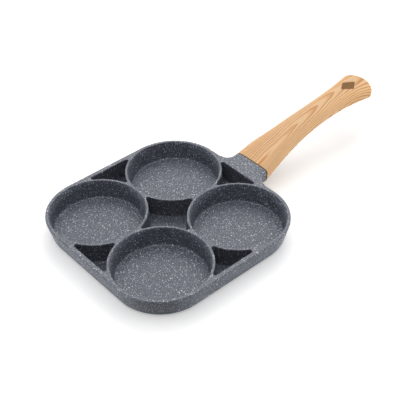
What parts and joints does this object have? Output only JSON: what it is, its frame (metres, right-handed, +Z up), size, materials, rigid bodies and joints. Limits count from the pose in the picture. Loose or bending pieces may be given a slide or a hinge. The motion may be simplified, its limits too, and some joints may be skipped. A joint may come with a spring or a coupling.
{
  "type": "multi-cup egg pan",
  "caption": "Shallow square cast frying pan with round cups for eggs or patties, drafted pockets between them, and a wood-look handle with a diamond hanging hole.",
  "frame": {"origin": "centre of the flat base face that the pan rests on, midway between the cups", "axes": "+X along the handle, away from the pan; +Y to the left seen from behind the handle's joint looking along +X; +Z up"},
  "size_m": [0.3656, 0.1902, 0.0554],
  "materials": {
    "stone_coating": "cast aluminium with a satin slate-grey stone-look non-stick coating, densely flecked with light specks",
    "gasket": "matt dark heat-resistant gasket",
    "wood_grain": "satin light beech-coloured wood-grain print over a moulded phenolic handle",
    "fastener_steel": "plain zinc-plated steel"
  },
  "bodies": {
    "root": {"pan_body": "stone_coating", "neck_gasket": "gasket", "handle": "wood_grain", "handle_screw": "fastener_steel", "lock_washer": "fastener_steel", "flat_washer": "fastener_steel"}
  },
  "joints": []
}
